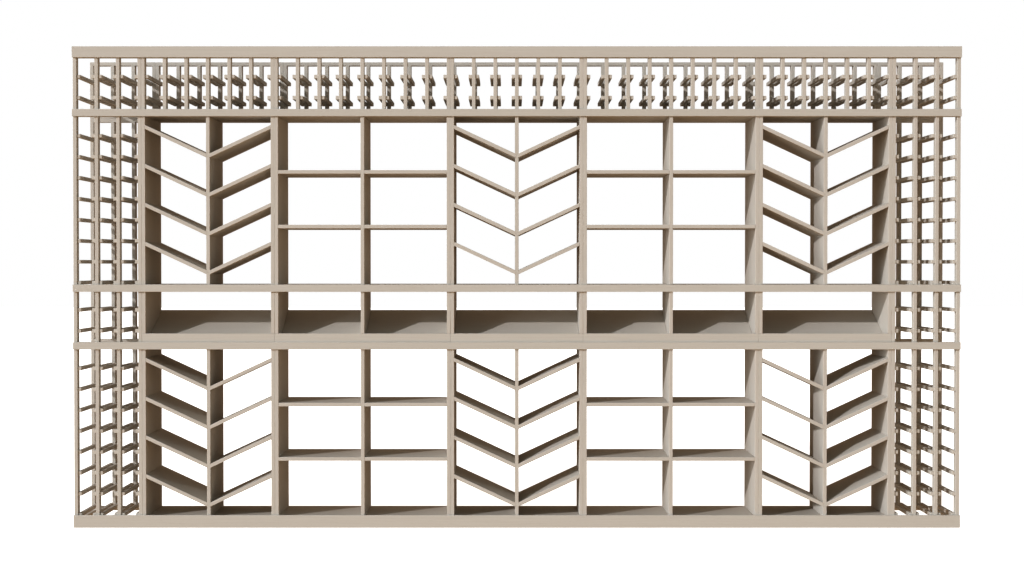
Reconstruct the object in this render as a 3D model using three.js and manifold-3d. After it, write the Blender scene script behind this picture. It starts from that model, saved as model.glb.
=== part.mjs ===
// A modular wooden wine wall: seven bays side by side, each a stack of four modules, with five
// trim boards across the front that hide the joints between the tiers. The outer bays and the
// whole top tier are bottle racks made of ladders; the bays between hold bins with chevron
// boards, bins with shelves for cases, and a tier of tilted display trays.
//
// Millimetres, +X to the right, +Y to the back, +Z up. Each module is built from its own lower
// left front corner: Y starts at the front of its posts, and the trims stand in front of that.
import * as THREE from "three";
import { mergeVertices } from "three/addons/utils/BufferGeometryUtils.js";
import Module from "manifold-3d";

const wasm = await Module();
wasm.setup();

// Driving dimensions
const board = 18; // every board's thickness, and a post's width
const postDepth = 36; // a post or a cross board, front to back
const depth = 350; // a module, front to back
const columnPitch = 107.7; // one bottle column, with one post
const rowPitch = 105; // one bottle row
const binRows = 8; // bottle rows in the upper and the lower tier
const shortRows = 2; // bottle rows in the display and the top tier
const gap = 0.4; // clearance between two pieces that touch
const past = 1; // how far a cutter goes past the face it cuts

const footHeight = 36; // runners under the lowest modules
const binClear = binRows * rowPitch; // inside height of the upper and the lower tier
const displayClear = 252;
const topClear = 257;

const railWidth = 17; // a rail runs beside its posts, on the side where the bottles lie
const railSetback = 5; // its ends are this far inside the posts' outer faces
const displayRailLift = 47; // the lowest rail's height over the cross board
const topRailLift = 49;

const tilt = THREE.MathUtils.degToRad(25); // chevron boards and display trays
const chevronLevels = 4;
const firstChevron = 51.7; // underside of the lowest chevron at the divider, above the bottom
const chevronPitch = 194.6;
const chevronHousing = 4; // how far a chevron board enters its divider

const shelfHeights = { low_shelf: 281, high_shelf: 554 }; // undersides, above the bottom
const shelfHousing = 6; // how far a shelf enters a side panel
const housingStop = 14; // the housing starts this far behind the front edge

const sillHeight = 43; // the lip that holds the bottles on a display tray
const trayToe = 26; // the tray's surface meets the bottom board here

const trimThickness = 10;
const trimOverhang = 2; // how far a trim runs past the outer posts
const baseHeight = 63;
const capHeight = 55;

const bays = [
  { name: "left_end", kind: "bottles", columns: 3 },
  { name: "left_chevron", kind: "chevron", columns: 6 },
  { name: "left_case", kind: "cases", columns: 8 },
  { name: "centre_chevron", kind: "chevron", columns: 6 },
  { name: "right_case", kind: "cases", columns: 8 },
  { name: "right_chevron", kind: "chevron", columns: 6 },
  { name: "right_end", kind: "bottles", columns: 3 },
];
let totalWidth = -gap;
for (const bay of bays) {
  bay.left = totalWidth + gap;
  bay.width = bay.columns * columnPitch + board;
  totalWidth = bay.left + bay.width;
}

// Each tier's module has a bottom board from its feet up, its clear space, and a top board.
const tiers = [
  { name: "lower", feet: footHeight, clear: binClear },
  { name: "display", feet: 0, clear: displayClear },
  { name: "upper", feet: 0, clear: binClear },
  { name: "top", feet: 0, clear: topClear },
];
let stackHeight = -gap;
for (const tier of tiers) {
  tier.level = stackHeight + gap;
  tier.floor = tier.feet + board;
  tier.ceiling = tier.floor + tier.clear;
  tier.height = tier.ceiling + board;
  stackHeight = tier.level + tier.height;
}

// Solids
function solidOf(geometry) {
  geometry.deleteAttribute("normal");
  geometry.deleteAttribute("uv");
  const merged = mergeVertices(geometry);
  return new wasm.Manifold(
    new wasm.Mesh({
      numProp: 3,
      vertProperties: merged.attributes.position.array,
      triVerts: new Uint32Array(merged.index.array),
    }),
  );
}

function block([x0, x1], [y0, y1], [z0, z1]) {
  const box = new THREE.BoxGeometry(x1 - x0, y1 - y0, z1 - z0);
  box.translate((x0 + x1) / 2, (y0 + y1) / 2, (z0 + z1) / 2);
  return solidOf(box);
}

// An outline of [x, z] points, pushed back from the front over the whole depth.
function pushedBack(outline) {
  const shape = new THREE.Shape(outline.map(([x, z]) => new THREE.Vector2(x, z)));
  const plank = new THREE.ExtrudeGeometry(shape, { depth, bevelEnabled: false });
  plank.rotateX(Math.PI / 2);
  plank.translate(0, depth, 0);
  return solidOf(plank);
}

// An outline of [y, z] points, drawn out from x0 to x1.
function drawnAcross(outline, [x0, x1]) {
  const shape = new THREE.Shape(outline.map(([y, z]) => new THREE.Vector2(y, z)));
  const plank = new THREE.ExtrudeGeometry(shape, { depth: x1 - x0, bevelEnabled: false });
  plank.rotateX(Math.PI / 2);
  plank.rotateZ(Math.PI / 2);
  plank.translate(x0, 0, 0);
  return solidOf(plank);
}

const joined = (solids) => solids.reduce((sum, solid) => sum.add(solid));

const front = [0, postDepth];
const back = [depth - postDepth, depth];
const full = [0, depth];
const alongRail = [railSetback, depth - railSetback];

function runners(width, places) {
  return places.map((left) => block([left, left + board], full, [0, footHeight]));
}

// Ladders side by side: a front and a back post with rails beside them, held by cross boards
// over and under the posts.
function bottleRack(bay, tier, railHeights) {
  const solids = tier.feet ? runners(bay.width, [0, bay.width - board]) : [];
  for (const side of [front, back]) {
    solids.push(block([0, bay.width], side, [tier.feet, tier.floor]));
    solids.push(block([0, bay.width], side, [tier.ceiling, tier.height]));
  }
  for (let ladder = 0; ladder <= bay.columns; ladder++) {
    const left = ladder * columnPitch;
    const right = left + board;
    solids.push(block([left, right], front, [tier.floor, tier.ceiling]));
    solids.push(block([left, right], back, [tier.floor, tier.ceiling]));
    for (const height of railHeights) {
      const rail = [tier.floor + height, tier.floor + height + board];
      if (ladder > 0) solids.push(block([left - railWidth, left], alongRail, rail));
      if (ladder < bay.columns) solids.push(block([right, right + railWidth], alongRail, rail));
    }
  }
  return joined(solids);
}

// An open box of four boards, as deep as the wall.
function carcass(bay, tier) {
  const { width } = bay;
  const middle = (width - board) / 2;
  const solids = tier.feet ? runners(width, [0, middle, width - board]) : [];
  solids.push(block([0, width], full, [tier.feet, tier.floor]));
  solids.push(block([0, width], full, [tier.ceiling, tier.height]));
  solids.push(block([0, board], full, [tier.floor, tier.ceiling]));
  solids.push(block([width - board, width], full, [tier.floor, tier.ceiling]));
  return joined(solids);
}

// A case bay's carcass has a stopped housing in each side panel for the end of each shelf.
function caseCarcass(bay, tier) {
  let solid = carcass(bay, tier);
  for (const height of Object.values(shelfHeights)) {
    const low = tier.floor + height;
    const faces = [[board - shelfHousing, board], [bay.width - board, bay.width - board + shelfHousing]];
    for (const [x0, x1] of faces) {
      const across = [housingStop, depth + past];
      solid = solid.subtract(block([x0, x1], across, [low - gap, low + board + gap]));
    }
  }
  return solid;
}

// A sill across the bottom of the front turns the open box into a display module.
function displayCarcass(bay, tier) {
  const sill = block([0, bay.width], [0, board], [tier.floor, tier.floor + sillHeight]);
  return carcass(bay, tier).add(sill);
}

function dividerPanel(bay, tier) {
  const middle = bay.width / 2;
  const across = [middle - board / 2, middle + board / 2];
  return block(across, full, [tier.floor + gap, tier.ceiling - gap]);
}

// The divider with its boards rising from it on both sides, each housed in the divider.
function chevronInsert(bay, tier) {
  const middle = bay.width / 2;
  const inner = board / 2 - chevronHousing;
  const outer = middle - board - gap;
  const upright = board / Math.cos(tilt);
  const solids = [dividerPanel(bay, tier)];
  for (let level = 0; level < chevronLevels; level++) {
    const start = tier.floor + firstChevron + level * chevronPitch;
    const underside = (x) => start + (x - board / 2) * Math.tan(tilt);
    for (const side of [-1, 1]) {
      solids.push(
        pushedBack([
          [middle + side * inner, underside(inner)],
          [middle + side * outer, underside(outer)],
          [middle + side * outer, underside(outer) + upright],
          [middle + side * inner, underside(inner) + upright],
        ]),
      );
    }
  }
  return joined(solids);
}

// Divider and shelves cross by half: the divider is slotted from the back, a shelf from the front.
function caseDivider(bay, tier) {
  let solid = dividerPanel(bay, tier);
  for (const height of Object.values(shelfHeights)) {
    const low = tier.floor + height;
    const slot = [low - gap, low + board + gap];
    solid = solid.subtract(block([0, bay.width], [depth / 2 - gap, depth + past], slot));
  }
  return solid;
}

function caseShelf(bay, tier, height) {
  const low = tier.floor + height;
  const high = low + board;
  const reach = board - shelfHousing + gap;
  const middle = bay.width / 2;
  const slot = [middle - board / 2 - gap, middle + board / 2 + gap];
  const stop = [-past, housingStop + gap];
  const through = [low - past, high + past];
  return block([reach, bay.width - reach], full, [low, high])
    .subtract(block([0, board + gap], stop, through))
    .subtract(block([bay.width - board - gap, bay.width], stop, through))
    .subtract(block(slot, [-past, depth / 2 + gap], through));
}

function displayDivider(bay, tier) {
  const notch = [tier.floor, tier.floor + sillHeight + gap];
  return dividerPanel(bay, tier).subtract(block([0, bay.width], [-past, board + gap], notch));
}

// A tilted board, its lower edge cut flat to rest on the bottom board behind the sill.
function displayTray(tier, across) {
  const rest = tier.floor + gap;
  const backTop = rest + (depth - trayToe) * Math.tan(tilt);
  const outline = [
    [trayToe, rest],
    [trayToe + board / Math.sin(tilt), rest],
    [depth, backTop - board / Math.cos(tilt)],
    [depth, backTop],
  ];
  return drawnAcross(outline, across);
}

// Assembly
const wall = new THREE.Group();
const frontOfTrims = -gap - trimThickness;
wall.position.set(-totalWidth / 2, -(frontOfTrims + depth) / 2, 0);

function addPiece(parent, name, solid, color) {
  const { vertProperties, triVerts } = solid.getMesh();
  const geometry = new THREE.BufferGeometry();
  geometry.setAttribute("position", new THREE.BufferAttribute(vertProperties, 3));
  geometry.setIndex(new THREE.BufferAttribute(triVerts, 1));
  const material = new THREE.MeshStandardMaterial({ color, roughness: 0.72, metalness: 0 });
  material.flatShading = true;
  const piece = new THREE.Mesh(geometry, material);
  piece.name = name;
  parent.add(piece);
  return piece;
}

const trimWood = "#beb3a1";
const rackWood = "#bcb09c";
const panelWood = "#b3a691";
const shelfWood = "#b8ab96";

// Each row's rails, above the bottom; the bins' lowest rails lie on it.
function railHeightsOf(tier) {
  const lift = { display: displayRailLift, top: topRailLift }[tier.name] ?? 0;
  const rows = lift ? shortRows : binRows;
  return Array.from({ length: rows }, (_, row) => lift + row * rowPitch);
}

function addBins(module, bay, tier) {
  const name = `${bay.name}_${tier.name}`;
  if (bay.kind === "chevron") {
    addPiece(module, `${name}_carcass`, carcass(bay, tier), panelWood);
    addPiece(module, `${name}_insert`, chevronInsert(bay, tier), shelfWood);
    return;
  }
  addPiece(module, `${name}_carcass`, caseCarcass(bay, tier), panelWood);
  addPiece(module, `${name}_divider`, caseDivider(bay, tier), panelWood);
  for (const [shelf, height] of Object.entries(shelfHeights)) {
    addPiece(module, `${name}_${shelf}`, caseShelf(bay, tier, height), shelfWood);
  }
}

function addDisplay(module, bay, tier) {
  const name = `${bay.name}_${tier.name}`;
  const inside = [board + gap, bay.width - board - gap];
  addPiece(module, `${name}_carcass`, displayCarcass(bay, tier), panelWood);
  if (bay.kind === "chevron") {
    addPiece(module, `${name}_tray`, displayTray(tier, inside), shelfWood);
    return;
  }
  const middle = bay.width / 2;
  const clear = board / 2 + gap;
  addPiece(module, `${name}_divider`, displayDivider(bay, tier), panelWood);
  addPiece(module, `${name}_left_tray`, displayTray(tier, [inside[0], middle - clear]), shelfWood);
  addPiece(module, `${name}_right_tray`, displayTray(tier, [middle + clear, inside[1]]), shelfWood);
}

for (const bay of bays) {
  for (const tier of tiers) {
    const module = new THREE.Group();
    module.position.set(bay.left, 0, tier.level);
    wall.add(module);
    if (bay.kind === "bottles" || tier.name === "top") {
      const rack = bottleRack(bay, tier, railHeightsOf(tier));
      addPiece(module, `${bay.name}_${tier.name}_rack`, rack, rackWood);
    } else if (tier.name === "display") {
      addDisplay(module, bay, tier);
    } else {
      addBins(module, bay, tier);
    }
  }
}

// Trim boards, each one length across the whole front.
function addTrim(name, low, high) {
  const across = [-trimOverhang, totalWidth + trimOverhang];
  const solid = block(across, [frontOfTrims, -gap], [low, high]);
  addPiece(wall, name, solid, trimWood);
}

const [lower, display, upper, top] = tiers;
addTrim("base_plinth", 0, baseHeight);
addTrim("lower_trim", lower.level + lower.ceiling, display.level + board);
addTrim("middle_trim", display.level + display.ceiling, upper.level + board);
addTrim("upper_trim", upper.level + upper.ceiling, top.level + board);
addTrim("cap_trim", top.level + top.ceiling, top.level + top.ceiling + capHeight);

export default wall;
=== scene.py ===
"""A modular wooden wine wall: every board of every module, around its CAD frame.

Each CAD node is replaced by one piece that holds the same boards with eased edges, real
notches, slots and housings, and a grain that runs along each board. Metres, +Z up, the open
front towards -Y.
"""

import math
import random

import bmesh
import bpy
from mathutils import Matrix, Vector


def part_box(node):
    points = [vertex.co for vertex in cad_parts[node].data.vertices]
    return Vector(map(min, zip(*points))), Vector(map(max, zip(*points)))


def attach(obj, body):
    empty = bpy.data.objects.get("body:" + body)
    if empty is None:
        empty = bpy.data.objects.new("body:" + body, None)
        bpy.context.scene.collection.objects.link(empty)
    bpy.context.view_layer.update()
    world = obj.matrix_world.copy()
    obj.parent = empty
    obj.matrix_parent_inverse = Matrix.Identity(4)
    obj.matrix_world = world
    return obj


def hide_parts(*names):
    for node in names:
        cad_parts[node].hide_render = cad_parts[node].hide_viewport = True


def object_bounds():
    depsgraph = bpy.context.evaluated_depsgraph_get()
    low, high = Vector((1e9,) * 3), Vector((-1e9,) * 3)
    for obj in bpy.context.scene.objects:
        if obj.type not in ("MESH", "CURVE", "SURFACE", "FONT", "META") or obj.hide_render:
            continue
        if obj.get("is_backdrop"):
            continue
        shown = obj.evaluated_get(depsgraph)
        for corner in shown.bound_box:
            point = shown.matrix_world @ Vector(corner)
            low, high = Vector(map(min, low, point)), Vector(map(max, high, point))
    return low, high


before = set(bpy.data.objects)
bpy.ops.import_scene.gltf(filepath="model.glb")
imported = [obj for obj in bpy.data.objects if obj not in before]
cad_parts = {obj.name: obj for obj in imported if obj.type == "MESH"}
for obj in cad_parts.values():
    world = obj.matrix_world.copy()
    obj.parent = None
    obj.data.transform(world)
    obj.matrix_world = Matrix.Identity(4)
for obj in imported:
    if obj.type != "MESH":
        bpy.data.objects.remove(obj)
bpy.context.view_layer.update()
rng = random.Random(11)

# The wall's own dimensions. Where each module stands is read from the frame.
BOARD = 0.018  # thickness of every board but the trims
POST_DEPTH = 0.036
COLUMN_PITCH = 0.1077
ROW_PITCH = 0.105
GAP = 0.0004  # clearance between neighbouring pieces
FOOT_HEIGHT = 0.036
RAIL_WIDTH = 0.017
RAIL_SETBACK = 0.005  # of the rails' ends, from the front and from the back
# Height of the lowest rails above the bottom board, and the number of rows.
RAIL_LIFTS = {"lower": 0.0, "display": 0.047, "upper": 0.0, "top": 0.049}
RAIL_ROWS = {"lower": 8, "display": 2, "upper": 8, "top": 2}
TILT = math.radians(25)  # of the chevron boards and of the trays
CHEVRON_LEVELS = 4
FIRST_CHEVRON = 0.0517  # underside at the divider, above the bottom board
CHEVRON_PITCH = 0.1946
CHEVRON_HOUSING = 0.004  # how deep a chevron board enters the divider
SHELF_HEIGHTS = {"low_shelf": 0.281, "high_shelf": 0.554}
SHELF_HOUSING = 0.006  # how deep a shelf enters the side panels
HOUSING_STOP = 0.014  # how far behind the front edge a housing starts
SILL_HEIGHT = 0.043
TRAY_TOE = 0.026  # how far behind the front a tray's foot starts

EASE = 0.0012  # radius of a planed board's edges
PAST = 0.001  # how far a cutter goes past the face it cuts
MERGE = 1e-6  # points nearer than this are one point after a cut
COPLANAR = 1e-3  # faces at a smaller angle than this, in radians, are one face after a cut
ON_EDGE = 1e-5  # an edge nearer than this to the edge of the board's box lies on it
SAME_WAY = 0.9999  # cosine above which two faces look the same way

# Where a board was sawn from its log: how far along it and how far from its middle, in metres.
LOG_REACH = 40.0
PITH_ASIDE = 0.06
PITH_BELOW = (0.02, 0.11)
MATCHED_GRAIN = (12.0, (0.03, 0.07), 0.5)  # start along the log, place of the pith, and tone

BAYS = {
    "left_end": "bottles",
    "left_chevron": "chevron",
    "left_case": "cases",
    "centre_chevron": "chevron",
    "right_case": "cases",
    "right_chevron": "chevron",
    "right_end": "bottles",
}
TIERS = ("lower", "display", "upper", "top")
TRIMS = ("base_plinth", "lower_trim", "middle_trim", "upper_trim", "cap_trim")


# ---------------------------------------------------------------- boards


def prism(outline, axis, span):
    """A closed mesh: an outline in the plane square to an axis, drawn along it over a span."""
    bm = bmesh.new()

    def point(a, b, along):
        place = [a, b]
        place.insert(axis, along)
        return bm.verts.new(place)

    ends = [[point(a, b, along) for a, b in outline] for along in span]
    bm.faces.new(ends[0])
    bm.faces.new(reversed(ends[1]))
    count = len(outline)
    for i in range(count):
        j = (i + 1) % count
        bm.faces.new((ends[0][i], ends[1][i], ends[1][j], ends[0][j]))
    bmesh.ops.recalc_face_normals(bm, faces=bm.faces)
    return bm


def cuboid(x, y, z):
    return prism([(y[0], z[0]), (y[1], z[0]), (y[1], z[1]), (y[0], z[1])], 0, x)


def carve(bm, cutters):
    """bm with the closed meshes in cutters taken out of it."""
    objects = []
    for source in [bm, *cutters]:
        mesh = bpy.data.meshes.new("carve")
        source.to_mesh(mesh)
        source.free()
        obj = bpy.data.objects.new("carve", mesh)
        bpy.context.scene.collection.objects.link(obj)
        objects.append(obj)
    board = objects[0]
    for cutter in objects[1:]:
        cut = board.modifiers.new("cut", "BOOLEAN")
        cut.operation = "DIFFERENCE"
        cut.solver = "EXACT"
        cut.object = cutter
    depsgraph = bpy.context.evaluated_depsgraph_get()
    mesh = bpy.data.meshes.new_from_object(board.evaluated_get(depsgraph), depsgraph=depsgraph)
    carved = bmesh.new()
    carved.from_mesh(mesh)
    bmesh.ops.remove_doubles(carved, verts=carved.verts, dist=MERGE)
    bmesh.ops.dissolve_limit(
        carved, angle_limit=COPLANAR, verts=carved.verts, edges=carved.edges, delimit=set()
    )
    for obj in objects:
        data = obj.data
        bpy.data.objects.remove(obj)
        bpy.data.meshes.remove(data)
    bpy.data.meshes.remove(mesh)
    return carved


def on_hull(edge, low, high):
    """True for an edge that lies on one of the twelve edges of the board's box."""
    middle = (edge.verts[0].co + edge.verts[1].co) / 2
    near = [min(middle[i] - low[i], high[i] - middle[i]) < ON_EDGE for i in range(3)]
    return sum(near) >= 2


class Piece:
    """Boards gathered into one mesh. Each has its own stretch of grain and its own tone."""

    def __init__(self, node, slot):
        self.node = node
        self.slot = slot
        self.bm = bmesh.new()
        self.wood = self.bm.verts.layers.float_vector.new("wood")
        self.tone = self.bm.verts.layers.float.new("tone")
        self.arris = self.bm.faces.layers.float.new("arris")

    def add(self, board, along, hull_only=False, tilt=0.0, matched=False):
        """Eases a board's outer edges and adds it. along is the axis its grain follows, and
        tilt turns that direction about Y. Matched boards are sawn from one long board, so the
        grain runs on from each to the next."""
        low = [min(v.co[i] for v in board.verts) for i in range(3)]
        high = [max(v.co[i] for v in board.verts) for i in range(3)]
        if hull_only:
            edges = [e for e in board.edges if on_hull(e, low, high)]
        else:
            edges = [e for e in board.edges if e.is_convex]
        board.normal_update()
        flat = [face.normal.copy() for face in board.faces]
        bmesh.ops.bevel(
            board,
            geom=edges,
            offset=EASE,
            offset_type="OFFSET",
            segments=2,
            profile=0.5,
            affect="EDGES",
            clamp_overlap=True,
        )
        board.normal_update()
        size = [high[i] - low[i] for i in range(3)]
        across = sorted((i for i in range(3) if i != along), key=lambda i: -size[i])
        middle = (Vector(low) + Vector(high)) / 2
        turn = Matrix.Rotation(tilt, 3, "Y")
        start = rng.uniform(-LOG_REACH, LOG_REACH)
        aside = rng.uniform(-PITH_ASIDE, PITH_ASIDE)
        pith = (aside, rng.uniform(*PITH_BELOW) * rng.choice((-1, 1)))
        tone = rng.random()
        if matched:
            middle[along] = 0.0
            start, pith, tone = MATCHED_GRAIN
        copies = {}
        for vert in board.verts:
            copy = self.bm.verts.new(vert.co)
            place = turn @ (vert.co - middle)
            copy[self.wood] = (
                place[along] + start,
                place[across[0]] + pith[0],
                place[across[1]] + pith[1],
            )
            copy[self.tone] = tone
            copies[vert] = copy
        for face in board.faces:
            copy = self.bm.faces.new([copies[v] for v in face.verts])
            # The easing rebuilds every face, so a flat one is known by the way it looks.
            eased = not any(face.normal.dot(normal) > SAME_WAY for normal in flat)
            copy[self.arris] = 1.0 if eased else 0.0
            copy.smooth = eased
        board.free()

    def finish(self):
        mesh = bpy.data.meshes.new(self.node + "_boards")
        self.bm.to_mesh(mesh)
        self.bm.free()
        obj = bpy.data.objects.new(self.node + "_boards", mesh)
        bpy.context.scene.collection.objects.link(obj)
        mesh.materials.append(WOODS[self.slot])
        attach(obj, "root")
        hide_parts(self.node)


# ---------------------------------------------------------------- wood


RING_WIDTH = 0.0058  # of one year's growth
RING_WANDER = 0.03  # how far the rings stray from true circles
RING_SHARPNESS = 2.2  # how narrow the dark late wood is
RING_SHARE = 0.18  # how much rings, streaks and fibres each darken the wood
STREAK_SHARE = 0.22
FIBRE_SHARE = 0.8
GRAIN_RANGE = (0.2, 0.95)  # sums of the three that are all pale and all dark
PORE_RANGE = (0.64, 0.74)  # noise at which a pore begins, and at which it is at its darkest
TONE_RANGE = 0.02  # between the darkest and the palest board
PORE_DARKENS = 0.09
# How much paler the eased arrises are drawn: a painted highlight along every eased edge.
ARRIS_HIGHLIGHT = 0.09
ROUGHNESS_RANGE = 0.22
SPECULAR = 0.35
GRAIN_DEPTH = 0.0006  # of the bump, in metres
BUMP_STRENGTH = 0.12
RING_SINKS = 0.35  # depths of a ring and of a pore, as shares of a fibre's height
PORE_SINKS = 0.8


def wood_material(name, pale, dark, cloud_share, roughness):
    """Limed softwood: growth rings, long fibres, short pores and cloudy stain, all laid out in
    each board's own grain coordinates, with a highlight painted on the eased arrises."""
    material = bpy.data.materials.new(name)
    material.use_nodes = True
    nodes = material.node_tree.nodes
    links = material.node_tree.links
    shader = nodes["Principled BSDF"]

    def put(socket, value):
        if isinstance(value, bpy.types.NodeSocket):
            links.new(value, socket)
        else:
            socket.default_value = value

    def attribute(attribute_name, output):
        node = nodes.new("ShaderNodeAttribute")
        node.attribute_name = attribute_name
        return node.outputs[output]

    def math_node(operation, a, b=0.0, c=0.0):
        node = nodes.new("ShaderNodeMath")
        node.operation = operation
        put(node.inputs[0], a)
        put(node.inputs[1], b)
        put(node.inputs[2], c)
        return node.outputs[0]

    def noise(along, across, detail, share=0.5):
        """Noise with so many cells per metre along the grain and across it."""
        stretch = nodes.new("ShaderNodeMapping")
        stretch.vector_type = "POINT"
        put(stretch.inputs["Vector"], wood)
        stretch.inputs["Scale"].default_value = (along, across, across)
        node = nodes.new("ShaderNodeTexNoise")
        put(node.inputs["Vector"], stretch.outputs[0])
        node.inputs["Scale"].default_value = 1.0
        node.inputs["Detail"].default_value = detail
        node.inputs["Roughness"].default_value = share
        return node.outputs[0]

    def ramp(value, low, high):
        node = nodes.new("ShaderNodeMapRange")
        node.clamp = True
        put(node.inputs["Value"], value)
        node.inputs["From Min"].default_value = low
        node.inputs["From Max"].default_value = high
        return node.outputs[0]

    def mix(factor, a, b, blend="MIX"):
        node = nodes.new("ShaderNodeMix")
        node.data_type = "RGBA"
        node.blend_type = blend
        put(node.inputs[0], factor)
        put(node.inputs[6], a)
        put(node.inputs[7], b)
        return node.outputs[2]

    wood = attribute("wood", "Vector")
    tone = attribute("tone", "Fac")
    arris = attribute("arris", "Fac")

    split = nodes.new("ShaderNodeSeparateXYZ")
    put(split.inputs[0], wood)
    radius = math_node(
        "SQRT",
        math_node(
            "ADD",
            math_node("MULTIPLY", split.outputs[1], split.outputs[1]),
            math_node("MULTIPLY", split.outputs[2], split.outputs[2]),
        ),
    )
    bent = math_node("MULTIPLY_ADD", noise(1.3, 11.0, 2.0), RING_WANDER, radius)
    wave = math_node("SINE", math_node("MULTIPLY", bent, 2 * math.pi / RING_WIDTH))
    rings = math_node("POWER", ramp(wave, -1.0, 1.0), RING_SHARPNESS)
    fibres = noise(7.0, 520.0, 3.0, 0.6)
    streaks = noise(1.6, 95.0, 2.0)
    clouds = noise(1.1, 9.0, 2.0)
    pores = ramp(noise(38.0, 900.0, 1.0), *PORE_RANGE)

    grain = math_node("MULTIPLY", streaks, STREAK_SHARE)
    grain = math_node("MULTIPLY_ADD", rings, RING_SHARE, grain)
    grain = math_node("MULTIPLY_ADD", fibres, FIBRE_SHARE, grain)
    colour = mix(ramp(grain, *GRAIN_RANGE), (*pale, 1.0), (*dark, 1.0))
    shade = math_node("MULTIPLY_ADD", clouds, cloud_share, 1.0 - cloud_share / 2)
    board_tone = math_node("MULTIPLY_ADD", tone, TONE_RANGE, 1.0 - TONE_RANGE / 2)
    shade = math_node("MULTIPLY", shade, board_tone)
    shade = math_node("MULTIPLY_ADD", pores, -PORE_DARKENS, shade)
    # Painted highlight: the eased arrises are drawn paler than the flat faces.
    shade = math_node("MULTIPLY_ADD", arris, ARRIS_HIGHLIGHT, shade)
    grey = nodes.new("ShaderNodeCombineColor")
    for socket in grey.inputs[:3]:
        put(socket, shade)
    colour = mix(1.0, colour, grey.outputs[0], "MULTIPLY")
    put(shader.inputs["Base Color"], colour)

    smoothest = roughness - ROUGHNESS_RANGE / 2
    put(shader.inputs["Roughness"], math_node("MULTIPLY_ADD", fibres, ROUGHNESS_RANGE, smoothest))
    shader.inputs["Specular IOR Level"].default_value = SPECULAR
    bump = nodes.new("ShaderNodeBump")
    bump.inputs["Strength"].default_value = BUMP_STRENGTH
    bump.inputs["Distance"].default_value = GRAIN_DEPTH
    height = math_node("MULTIPLY_ADD", rings, -RING_SINKS, fibres)
    height = math_node("MULTIPLY_ADD", pores, -PORE_SINKS, height)
    put(bump.inputs["Height"], height)
    put(shader.inputs["Normal"], bump.outputs[0])
    return material


# A light greige, of the pale and of the dark grain.
STAIN = ((0.550, 0.511, 0.451), (0.502, 0.458, 0.397))
TRIM_STAIN = ((0.540, 0.506, 0.448), (0.497, 0.457, 0.398))

WOODS = {
    "trim_wood": wood_material("trim_wood", *TRIM_STAIN, 0.04, 0.60),
    "rack_wood": wood_material("rack_wood", *STAIN, 0.05, 0.62),
    "panel_wood": wood_material("panel_wood", *STAIN, 0.05, 0.64),
    "shelf_wood": wood_material("shelf_wood", *STAIN, 0.05, 0.62),
}


# ---------------------------------------------------------------- modules


class Module:
    """Where a bay's module of one tier stands, from its CAD node's box."""

    def __init__(self, bay, tier):
        self.bay, self.tier = bay, tier
        self.name = f"{bay}_{tier}"
        is_rack = BAYS[bay] == "bottles" or tier == "top"
        low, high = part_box(self.name + ("_rack" if is_rack else "_carcass"))
        self.left, self.right = low.x, high.x
        self.front, self.back = low.y, high.y
        self.foot, self.height = low.z, high.z
        self.under = low.z + (FOOT_HEIGHT if tier == "lower" else 0.0)
        self.floor = self.under + BOARD
        self.ceiling = high.z - BOARD
        self.middle = (low.x + high.x) / 2

    @property
    def whole(self):
        return (self.front, self.back)


def add_runners(piece, module, lefts):
    if module.tier != "lower":
        return
    for left in lefts:
        runner = cuboid((left, left + BOARD), module.whole, (module.foot, module.under))
        piece.add(runner, along=1)


def bottle_rack(module):
    piece = Piece(module.name + "_rack", "rack_wood")
    left, right = module.left, module.right
    front = (module.front, module.front + POST_DEPTH)
    back = (module.back - POST_DEPTH, module.back)
    along_rail = (module.front + RAIL_SETBACK, module.back - RAIL_SETBACK)
    add_runners(piece, module, (left, right - BOARD))
    for side in (front, back):
        piece.add(cuboid((left, right), side, (module.under, module.floor)), along=0)
        piece.add(cuboid((left, right), side, (module.ceiling, module.height)), along=0)
    columns = round((right - left - BOARD) / COLUMN_PITCH)
    for ladder in range(columns + 1):
        near = left + ladder * COLUMN_PITCH
        far = near + BOARD
        for side in (front, back):
            piece.add(cuboid((near, far), side, (module.floor, module.ceiling)), along=2)
        for row in range(RAIL_ROWS[module.tier]):
            low = module.floor + RAIL_LIFTS[module.tier] + row * ROW_PITCH
            if ladder > 0:
                rail = cuboid((near - RAIL_WIDTH, near), along_rail, (low, low + BOARD))
                piece.add(rail, along=1)
            if ladder < columns:
                rail = cuboid((far, far + RAIL_WIDTH), along_rail, (low, low + BOARD))
                piece.add(rail, along=1)
    piece.finish()


def add_box(piece, module, side_panels):
    """The bottom, the top and the two given side panels of an open-fronted module."""
    left, right = module.left, module.right
    middle = module.middle - BOARD / 2
    add_runners(piece, module, (left, middle, right - BOARD))
    piece.add(cuboid((left, right), module.whole, (module.under, module.floor)), along=0)
    piece.add(cuboid((left, right), module.whole, (module.ceiling, module.height)), along=0)
    for panel in side_panels:
        piece.add(panel, along=2, hull_only=True)


def plain_panels(module):
    upright = (module.floor, module.ceiling)
    return [
        cuboid((module.left, module.left + BOARD), module.whole, upright),
        cuboid((module.right - BOARD, module.right), module.whole, upright),
    ]


def housed_panels(module):
    """Side panels with a stopped housing for the end of each shelf."""
    left, right = module.left + BOARD, module.right - BOARD
    spans = [(left - SHELF_HOUSING, left + PAST), (right - PAST, right + SHELF_HOUSING)]
    run = (module.front + HOUSING_STOP, module.back + PAST)
    panels = []
    for panel, span in zip(plain_panels(module), spans):
        housings = []
        for height in SHELF_HEIGHTS.values():
            low = module.floor + height
            housings.append(cuboid(span, run, (low - GAP, low + BOARD + GAP)))
        panels.append(carve(panel, housings))
    return panels


def lapped_outline(module, low, high):
    """A panel's outline in depth and height, notched at its foot for the sill in front of it."""
    notch = module.front + BOARD + GAP
    over = module.floor + SILL_HEIGHT + GAP
    return [
        (notch, low),
        (module.back, low),
        (module.back, high),
        (module.front, high),
        (module.front, over),
        (notch, over),
    ]


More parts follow.
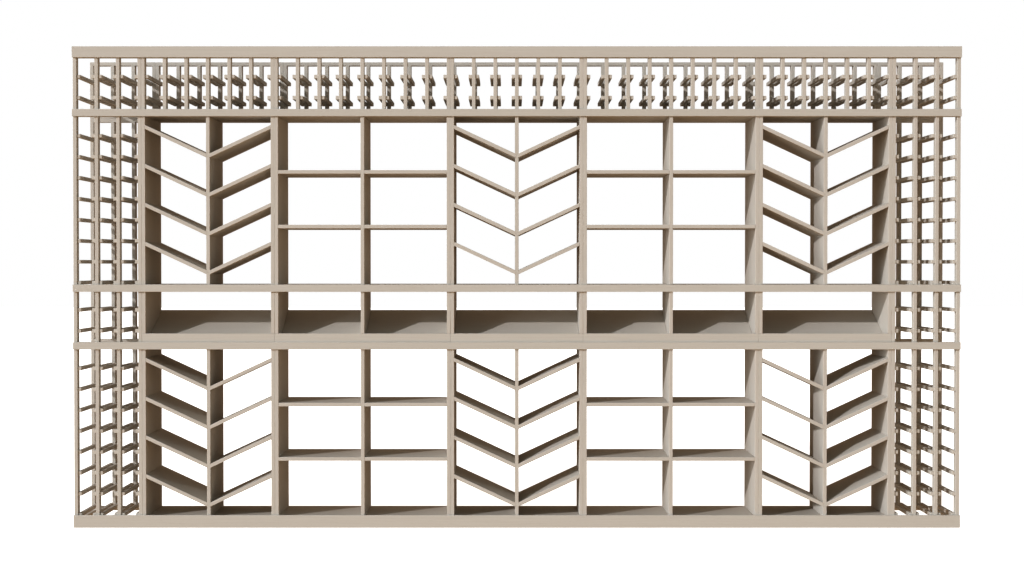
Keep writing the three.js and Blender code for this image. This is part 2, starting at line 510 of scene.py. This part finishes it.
def divider_span(module):
    return (module.middle - BOARD / 2, module.middle + BOARD / 2)


def divider(module):
    return cuboid(divider_span(module), module.whole, (module.floor + GAP, module.ceiling - GAP))


def chevron_outline(module, level, side, inner):
    """One chevron board in width and height, from inner, off the divider's middle, outwards."""
    start = module.floor + FIRST_CHEVRON + level * CHEVRON_PITCH
    outer = (module.right - module.left) / 2 - BOARD - GAP
    rise = math.tan(TILT)
    upright = BOARD / math.cos(TILT)
    outline = []
    for reach, lift in ((inner, 0.0), (outer, 0.0), (outer, upright), (inner, upright)):
        outline.append((module.middle + side * reach, start + (reach - BOARD / 2) * rise + lift))
    return outline


def chevron_bin(module):
    piece = Piece(module.name + "_carcass", "panel_wood")
    add_box(piece, module, plain_panels(module))
    piece.finish()

    piece = Piece(module.name + "_insert", "shelf_wood")
    inner = BOARD / 2 - CHEVRON_HOUSING
    past_back = (module.front - PAST, module.back + PAST)
    housings = []
    for level in range(CHEVRON_LEVELS):
        for side in (-1, 1):
            outline = chevron_outline(module, level, side, inner)
            piece.add(prism(outline, 1, module.whole), along=0, tilt=side * TILT)
            housings.append(prism(outline, 1, past_back))
    piece.add(carve(divider(module), housings), along=2, hull_only=True)
    piece.finish()


def case_divider(module):
    """The divider in depth and height, slotted from the back for the two shelves."""
    low, high = module.floor + GAP, module.ceiling - GAP
    half = (module.front + module.back) / 2 - GAP
    outline = [(module.front, low), (module.back, low)]
    for height in SHELF_HEIGHTS.values():
        under = module.floor + height - GAP
        over = under + BOARD + 2 * GAP
        outline += [(module.back, under), (half, under), (half, over), (module.back, over)]
    outline += [(module.back, high), (module.front, high)]
    return prism(outline, 0, divider_span(module))


def case_shelf(module, height):
    """A shelf in width and depth: its front corners stop at the housings, and a slot from the
    front crosses the divider."""
    low = module.floor + height
    reach = BOARD - SHELF_HOUSING + GAP
    ends = module.left + reach, module.right - reach
    shoulders = module.left + BOARD + GAP, module.right - BOARD - GAP
    stop = module.front + HOUSING_STOP + GAP
    slot = module.middle - BOARD / 2 - GAP, module.middle + BOARD / 2 + GAP
    half = (module.front + module.back) / 2 + GAP
    outline = [
        (shoulders[0], module.front),
        (slot[0], module.front),
        (slot[0], half),
        (slot[1], half),
        (slot[1], module.front),
        (shoulders[1], module.front),
        (shoulders[1], stop),
        (ends[1], stop),
        (ends[1], module.back),
        (ends[0], module.back),
        (ends[0], stop),
        (shoulders[0], stop),
    ]
    return prism(outline, 2, (low, low + BOARD))


def case_bin(module):
    piece = Piece(module.name + "_carcass", "panel_wood")
    add_box(piece, module, housed_panels(module))
    piece.finish()
    piece = Piece(module.name + "_divider", "panel_wood")
    piece.add(case_divider(module), along=2)
    piece.finish()
    for shelf, height in SHELF_HEIGHTS.items():
        piece = Piece(f"{module.name}_{shelf}", "shelf_wood")
        piece.add(case_shelf(module, height), along=0)
        piece.finish()


def display_tray(module, name, span):
    """A tilted board with its foot cut flat, behind the sill."""
    rest = module.floor + GAP
    toe = module.front + TRAY_TOE
    top = rest + (module.back - toe) * math.tan(TILT)
    outline = [
        (toe, rest),
        (toe + BOARD / math.sin(TILT), rest),
        (module.back, top - BOARD / math.cos(TILT)),
        (module.back, top),
    ]
    piece = Piece(name, "shelf_wood")
    piece.add(prism(outline, 0, span), along=0)
    piece.finish()


def display_module(module):
    piece = Piece(module.name + "_carcass", "panel_wood")
    outline = lapped_outline(module, module.floor, module.ceiling)
    spans = ((module.left, module.left + BOARD), (module.right - BOARD, module.right))
    add_box(piece, module, [prism(outline, 0, span) for span in spans])
    lap = (module.front, module.front + BOARD)
    sill = cuboid((module.left, module.right), lap, (module.floor, module.floor + SILL_HEIGHT))
    piece.add(sill, along=0, matched=True)
    piece.finish()

    inside = module.left + BOARD + GAP, module.right - BOARD - GAP
    if BAYS[module.bay] == "chevron":
        display_tray(module, module.name + "_tray", inside)
        return
    piece = Piece(module.name + "_divider", "panel_wood")
    outline = lapped_outline(module, module.floor + GAP, module.ceiling - GAP)
    piece.add(prism(outline, 0, divider_span(module)), along=2)
    piece.finish()
    clear = BOARD / 2 + GAP
    display_tray(module, module.name + "_left_tray", (inside[0], module.middle - clear))
    display_tray(module, module.name + "_right_tray", (module.middle + clear, inside[1]))


for bay, kind in BAYS.items():
    for tier in TIERS:
        module = Module(bay, tier)
        if kind == "bottles" or tier == "top":
            bottle_rack(module)
        elif tier == "display":
            display_module(module)
        elif kind == "chevron":
            chevron_bin(module)
        else:
            case_bin(module)

for trim in TRIMS:
    low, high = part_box(trim)
    piece = Piece(trim, "trim_wood")
    piece.add(cuboid((low.x, high.x), (low.y, high.y), (low.z, high.z)), along=0)
    piece.finish()


# ---------------------------------------------------------------- stage, light and camera


def flat_material(name, colour, roughness, glow):
    material = bpy.data.materials.new(name)
    material.use_nodes = True
    shader = material.node_tree.nodes["Principled BSDF"]
    shader.inputs["Base Color"].default_value = (*colour, 1.0)
    shader.inputs["Roughness"].default_value = roughness
    shader.inputs["Emission Color"].default_value = (1.0, 1.0, 1.0, 1.0)
    shader.inputs["Emission Strength"].default_value = glow
    return material


FLOOR_REACH = 40.0
FLOOR_LEVEL = -0.0005  # just under the runners, so that no two faces lie in one plane
floor_mesh = bpy.data.meshes.new("floor")
corners = [(-1, -1), (1, -1), (1, 1), (-1, 1)]
points = [(x * FLOOR_REACH, y * FLOOR_REACH, FLOOR_LEVEL) for x, y in corners]
floor_mesh.from_pydata(points, [], [(0, 1, 2, 3)])
floor = bpy.data.objects.new("floor", floor_mesh)
bpy.context.scene.collection.objects.link(floor)
floor_mesh.materials.append(flat_material("pale_floor", (0.85, 0.85, 0.84), 0.9, 1.0))
# The floor is only seen. The world lights the wall from below in its place.
floor.visible_diffuse = False
floor.visible_glossy = False
floor.visible_shadow = False
floor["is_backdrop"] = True


def sun(name, travels, strength, spread, colour=(1.0, 1.0, 1.0), glare=True):
    """A sun whose light travels the given way. Without glare it makes no highlights."""
    light = bpy.data.lights.new(name, "SUN")
    light.energy = strength
    light.angle = math.radians(spread)
    light.color = colour
    obj = bpy.data.objects.new(name, light)
    obj.rotation_mode = "QUATERNION"
    obj.rotation_quaternion = Vector(travels).to_track_quat("-Z", "Y")
    obj.visible_glossy = glare
    bpy.context.scene.collection.objects.link(obj)


# The photograph's light, from the front, the left and above.
sun("key", (1.2, 1.0, -0.70), 2.4, 1.2, (0.95, 0.97, 1.04))
sun("left_fill", (1.0, 0.6, -0.1), 1.5, 40.0, (0.85, 0.97, 1.08))
# Light on the back and the right end, which the photograph doesn't show.
sun("back_fill", (0.0, -1.0, 0.0), 2.7, 1.0, glare=False)
sun("side_fill", (-1.0, 0.0, 0.0), 2.0, 1.0, glare=False)


FLOOR_GLOW = (0.69, 0.455, 0.255)
FRONT_GLOW = (0.34, 0.385, 0.40)
BACK_GLOW = (0.35, 0.25, 0.17)
HORIZON = 0.15  # half the width, as a sine, over which one glow turns into the next


def studio_world():
    """White to the camera. As light, warm from the floor, cool from the room in front, and
    weaker and warm from behind."""
    world = bpy.data.worlds.new("studio")
    world.use_nodes = True
    bpy.context.scene.world = world
    nodes = world.node_tree.nodes
    links = world.node_tree.links
    nodes.clear()
    coordinates = nodes.new("ShaderNodeTexCoord")
    split = nodes.new("ShaderNodeSeparateXYZ")
    links.new(coordinates.outputs["Generated"], split.inputs[0])

    def colour_socket(colour):
        node = nodes.new("ShaderNodeRGB")
        node.outputs[0].default_value = (*colour, 1.0)
        return node.outputs[0]

    def blend(direction, low, high):
        """From one colour to the other, across the horizon square to a direction."""
        side = nodes.new("ShaderNodeMapRange")
        side.inputs["From Min"].default_value = -HORIZON
        side.inputs["From Max"].default_value = HORIZON
        links.new(split.outputs[direction], side.inputs["Value"])
        mix = nodes.new("ShaderNodeMix")
        mix.data_type = "RGBA"
        links.new(side.outputs[0], mix.inputs[0])
        links.new(low, mix.inputs[6])
        links.new(high, mix.inputs[7])
        return mix.outputs[2]

    front = blend("Z", colour_socket(FLOOR_GLOW), colour_socket(FRONT_GLOW))
    glow = nodes.new("ShaderNodeBackground")
    links.new(blend("Y", front, colour_socket(BACK_GLOW)), glow.inputs["Color"])
    seen = nodes.new("ShaderNodeBackground")
    seen.inputs["Color"].default_value = (1.0, 1.0, 1.0, 1.0)
    path = nodes.new("ShaderNodeLightPath")
    choice = nodes.new("ShaderNodeMixShader")
    output = nodes.new("ShaderNodeOutputWorld")
    links.new(path.outputs["Is Camera Ray"], choice.inputs[0])
    links.new(glow.outputs[0], choice.inputs[1])
    links.new(seen.outputs[0], choice.inputs[2])
    links.new(choice.outputs[0], output.inputs["Surface"])


studio_world()

bpy.context.scene.view_settings.view_transform = "Standard"
bpy.context.scene.view_settings.gamma = 0.8

# The photograph's view: nearly square to the front and just above the middle of its height.
CAMERA_PLACE = (-0.0242, -7.8284, 1.3139)
CAMERA_DOWN = math.radians(0.842)
CAMERA_LENS = 53.81
SENSOR_WIDTH = 36.0

camera_data = bpy.data.cameras.new("camera")
camera_data.lens = CAMERA_LENS
camera_data.sensor_width = SENSOR_WIDTH
camera = bpy.data.objects.new("camera", camera_data)
camera.location = CAMERA_PLACE
camera.rotation_euler = (math.pi / 2 - CAMERA_DOWN, 0.0, 0.0)
bpy.context.scene.collection.objects.link(camera)
bpy.context.scene.camera = camera

low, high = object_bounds()
